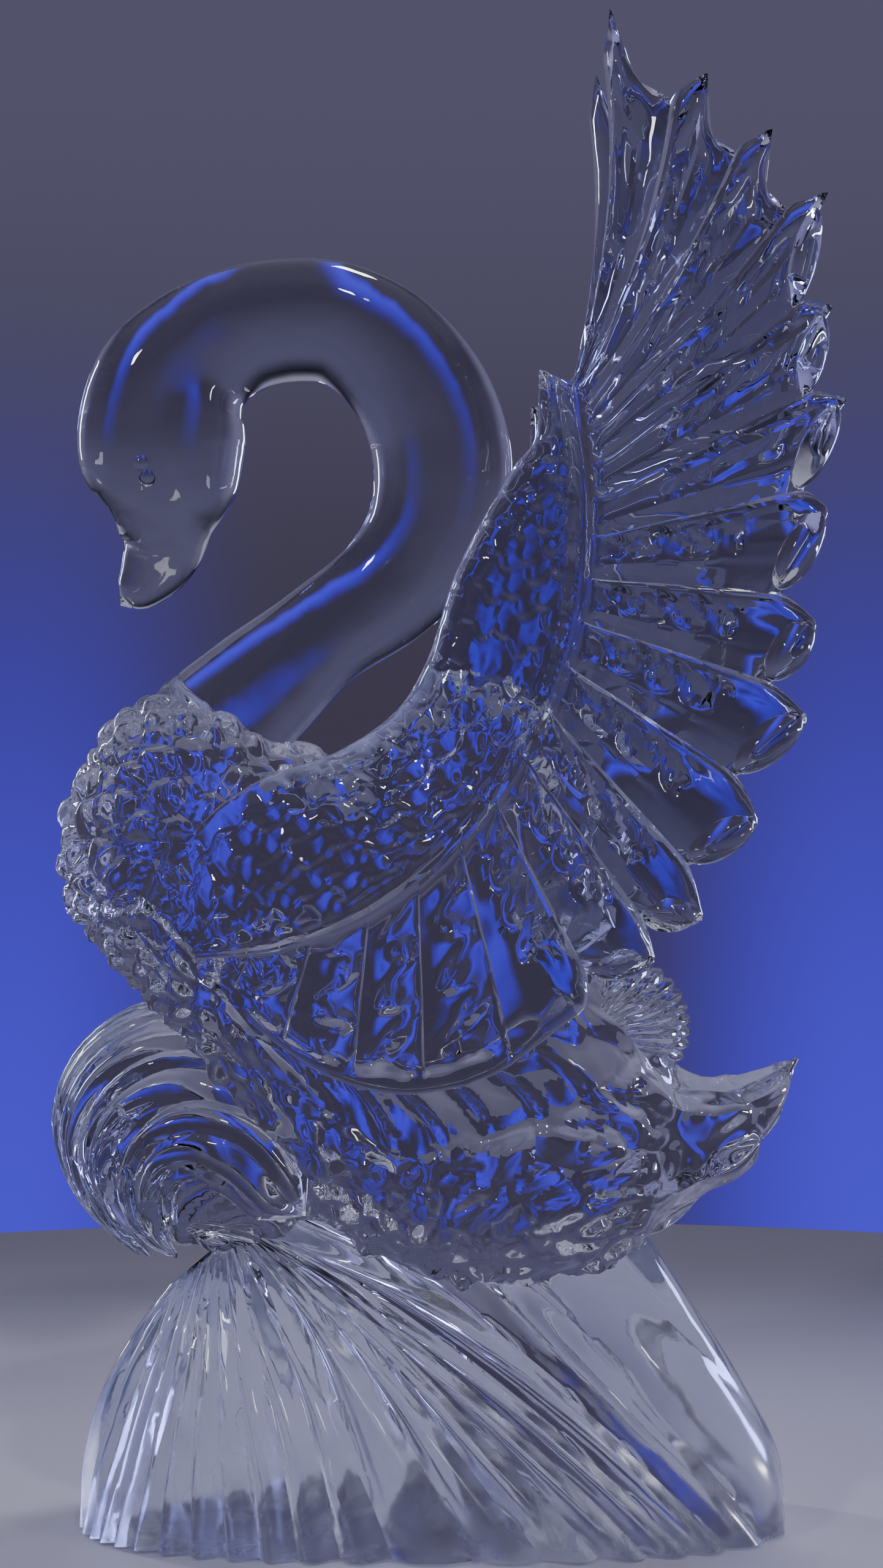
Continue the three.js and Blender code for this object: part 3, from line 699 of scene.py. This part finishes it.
swan = body
bpy.ops.object.select_all(action="DESELECT")
swan.select_set(True)
bpy.context.view_layer.objects.active = swan
for part in [neck, *eyes, back, rump, *wings, *pods, *wave, base, *hollows]:
    joint = swan.modifiers.new("joint", "BOOLEAN")
    joint.object = part
    joint.operation = "DIFFERENCE" if part in hollows else "UNION"
    joint.solver = "MANIFOLD"
    bpy.ops.object.modifier_apply(modifier=joint.name)
    bpy.data.objects.remove(part)
highest = int(np.argmax(points_of(swan)[:, 2]))
bpy.ops.object.mode_set(mode="EDIT")
bpy.ops.mesh.select_all(action="DESELECT")
bpy.ops.object.mode_set(mode="OBJECT")
swan.data.vertices[highest].select = True
bpy.ops.object.mode_set(mode="EDIT")
bpy.ops.mesh.select_linked()
bpy.ops.mesh.select_all(action="INVERT")
bpy.ops.mesh.delete(type="VERT")
bpy.ops.object.mode_set(mode="OBJECT")
swan.name = "carved_swan"
bpy.ops.object.shade_smooth_by_angle(angle=math.radians(38))

ice_colour, ice_refraction = (0.83, 0.85, 0.94, 1.0), 1.31
frost_top = 0.15
wet_roughness, frosted_roughness = 0.015, 0.3
melt_ripples = [(16, 2, 0.2, 0.012), (60, 2, 0.06, 0.002)]  # waves for each metre, detail, strength, height

ice = bpy.data.materials.new("clear_wet_ice")
ice.use_nodes = True
nodes, links = ice.node_tree.nodes, ice.node_tree.links
shader = nodes["Principled BSDF"]
shader.inputs["Base Color"].default_value = ice_colour
shader.inputs["IOR"].default_value = ice_refraction
shader.inputs["Transmission Weight"].default_value = 1.0
where = nodes.new("ShaderNodeTexCoord")


def ripple(scale, detail):
    """A soft random pattern over the ice, at a scale in waves for each metre."""
    pattern = nodes.new("ShaderNodeTexNoise")
    pattern.inputs["Scale"].default_value = scale
    pattern.inputs["Detail"].default_value = detail
    links.new(where.outputs["Object"], pattern.inputs["Vector"])
    return pattern.outputs["Fac"]


axes = nodes.new("ShaderNodeSeparateXYZ")
links.new(where.outputs["Object"], axes.inputs[0])
near_foot = nodes.new("ShaderNodeMapRange")
near_foot.inputs["From Min"].default_value = frost_top
near_foot.inputs["From Max"].default_value = 0.0
links.new(axes.outputs["Z"], near_foot.inputs["Value"])
frost = nodes.new("ShaderNodeMath")
frost.operation = "MULTIPLY"
links.new(near_foot.outputs[0], frost.inputs[0])
links.new(ripple(24, 4), frost.inputs[1])
roughness = nodes.new("ShaderNodeMapRange")
roughness.inputs["From Max"].default_value = 0.6
roughness.inputs["To Min"].default_value = wet_roughness
roughness.inputs["To Max"].default_value = frosted_roughness
links.new(frost.outputs[0], roughness.inputs["Value"])
links.new(roughness.outputs[0], shader.inputs["Roughness"])
skin = None
for scale, detail, strength, distance in melt_ripples:
    bump = nodes.new("ShaderNodeBump")
    bump.inputs["Strength"].default_value = strength
    bump.inputs["Distance"].default_value = distance
    links.new(ripple(scale, detail), bump.inputs["Height"])
    if skin:
        links.new(skin, bump.inputs["Normal"])
    skin = bump.outputs[0]
links.new(skin, shader.inputs["Normal"])
swan.data.materials.clear()
swan.data.materials.append(ice)
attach(swan, "root")
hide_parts("ice_swan")


# The floor, a plain round board under the carving, and not a part of it.
# It is painted a matt, pale grey, and lies a hair below the carving's underside.

floor_radius, floor_gap = 1.35, 0.0005
floor_colour, floor_roughness = (0.32, 0.31, 0.38, 1), 0.6

bpy.ops.object.select_all(action="DESELECT")
bpy.ops.mesh.primitive_circle_add(
    vertices=128, radius=floor_radius, fill_type="NGON", location=(0, 0, -floor_gap)
)
floor = bpy.context.active_object
floor.name = "floor"
floor_paint = bpy.data.materials.new("pale_floor")
floor_paint.use_nodes = True
paint = floor_paint.node_tree.nodes["Principled BSDF"]
paint.inputs["Base Color"].default_value = floor_colour
paint.inputs["Roughness"].default_value = floor_roughness
floor.data.materials.append(floor_paint)


# The studio: a dusky plain surround, bluer low down to each side. Pale walls, a pale ceiling and soft lamps
# stand outside the view, and gleam in the ice.

dusk_low, dusk_high, deep_blue = (0.052, 0.045, 0.076, 1), (0.092, 0.086, 0.15, 1), (0.07, 0.04, 0.85, 1)
dark_room, side_screens = (0.012, 0.012, 0.018, 1), (0.17, 0.16, 0.25, 1)
ceiling_colour, wall_colour = (0.4, 0.39, 0.5, 1), (0.3, 0.28, 0.58, 1)

surround = bpy.data.worlds.new("surround")
surround.use_nodes = True
bpy.context.scene.world = surround
sky, sky_links = surround.node_tree.nodes, surround.node_tree.links
direction = sky.new("ShaderNodeTexCoord")
split = sky.new("ShaderNodeSeparateXYZ")
sky_links.new(direction.outputs["Generated"], split.inputs[0])


def eased(value, start, end):
    """How far a part of the direction has come between two values, easing in and out."""
    part = sky.new("ShaderNodeMapRange")
    part.interpolation_type = "SMOOTHSTEP"
    part.inputs["From Min"].default_value = start
    part.inputs["From Max"].default_value = end
    sky_links.new(value, part.inputs["Value"])
    return part.outputs[0]


def worked(operation, one, other=None):
    """The outcome of one sum on parts of the direction."""
    node = sky.new("ShaderNodeMath")
    node.operation = operation
    sky_links.new(one, node.inputs[0])
    if other:
        sky_links.new(other, node.inputs[1])
    return node.outputs[0]


def mixed(share, one, other):
    """Mixes two colours, each of which may be the outcome of another mix."""
    node = sky.new("ShaderNodeMix")
    node.data_type = "RGBA"
    for socket, value in (("Factor", share), ("A", one), ("B", other)):
        if isinstance(value, tuple):
            node.inputs[socket].default_value = value
        else:
            sky_links.new(value, node.inputs[socket])
    return node.outputs["Result"]


aside = worked("ABSOLUTE", split.outputs["X"])
ahead, up = split.outputs["Y"], split.outputs["Z"]
blue_share = worked("MULTIPLY", eased(aside, 0.05, 0.14), eased(aside, 0.2, 0.145))
blue_share = worked("MULTIPLY", blue_share, eased(up, 0.18, -0.17))
dusk = mixed(eased(up, 0.02, 0.24), dusk_low, dusk_high)
backdrop = mixed(blue_share, dusk, deep_blue)
backdrop = mixed(eased(aside, 0.4, 0.6), backdrop, side_screens)
in_view = worked("MULTIPLY", eased(ahead, 0.1, 0.6), eased(up, 0.6, 0.35))
room = mixed(in_view, dark_room, backdrop)
room = mixed(eased(up, 0.6, 0.85), room, ceiling_colour)
room = mixed(eased(aside, 0.78, 0.93), room, wall_colour)
sky_links.new(room, sky["Background"].inputs["Color"])
sky["Background"].inputs["Strength"].default_value = 1.0

lamps_aim = (0, 0, 0.45)
lamps = [  # name, place, width, height, watts, colour and spread in degrees
    ("key", (-1.5, -1.9, 2.0), 0.2, 0.2, 2.5, (1.0, 1.0, 1.0), 60),
    ("fill", (1.9, -1.7, 1.5), 0.12, 0.4, 1.6, (0.9, 0.93, 1.0), 60),
    ("ceiling", (0.4, -2.4, 2.9), 0.18, 0.18, 2.2, (1.0, 1.0, 1.0), 50),
    ("top", (0.3, 0.6, 2.4), 0.35, 0.25, 2, (1.0, 1.0, 1.0), 50),
    ("left_rim", (-1.7, 1.2, 1.1), 0.12, 1.0, 4, (0.85, 0.9, 1.0), 60),
    ("right_rim", (1.6, 1.2, 0.5), 0.3, 0.6, 4, (0.3, 0.35, 1.0), 60),
    ("low_rim", (1.9, 0.5, 0.15), 0.5, 0.1, 3, (0.9, 0.93, 1.0), 60),
]
for name, place, width, tall, watts, colour, spread in lamps:
    bpy.ops.object.light_add(type="AREA", location=place)
    lamp = bpy.context.active_object
    lamp.name = name
    lamp.data.shape = "RECTANGLE"
    lamp.data.size, lamp.data.size_y = width, tall
    lamp.data.energy = watts
    lamp.data.color = colour
    lamp.data.spread = math.radians(spread)
    lamp.rotation_euler = (Vector(lamps_aim) - Vector(place)).to_track_quat("-Z", "Y").to_euler()
    lamp.visible_camera = False


# The camera stands level with the middle of the carving, two metres in front of its left side, and looks
# straight at it.

camera_place, camera_lens = (-0.0005, -1.96, 0.4836), 68.6

bpy.ops.object.camera_add(location=camera_place, rotation=(math.pi / 2, 0, 0))
camera = bpy.context.active_object
camera.data.lens = camera_lens
bpy.context.scene.camera = camera
